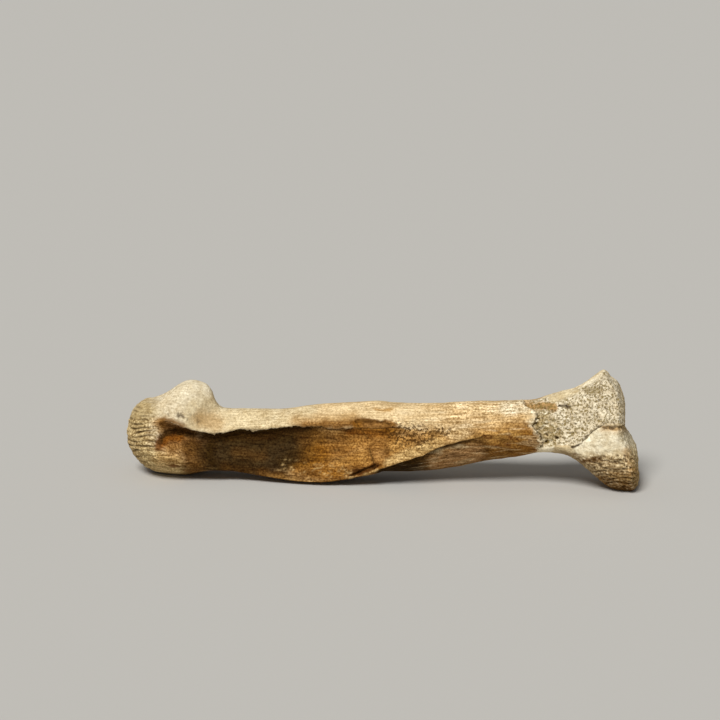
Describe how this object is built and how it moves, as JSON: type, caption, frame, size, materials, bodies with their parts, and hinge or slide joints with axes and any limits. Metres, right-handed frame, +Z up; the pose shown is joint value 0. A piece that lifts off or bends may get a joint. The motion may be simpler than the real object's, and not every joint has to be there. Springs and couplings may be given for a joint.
{
  "type": "fossil dinosaur limb bone",
  "caption": "Fossil dinosaur limb bone lying on its side: a grooved knuckle with a knob, a long hollowed shaft with a crest, and a fan-shaped end broken open to its spongy inside.",
  "frame": {"origin": "on the resting plane, under the middle of the bone's bounding box", "axes": "+X along the bone from the knuckle end to the fan end, +Z up from the resting plane, -Y out of the hollowed face"},
  "size_m": [0.5582, 0.0936, 0.1282],
  "materials": {
    "fossil_bone": "matt mineralised bone, cream to amber brown"
  },
  "bodies": {
    "root": {"bone": "fossil_bone"}
  },
  "joints": []
}
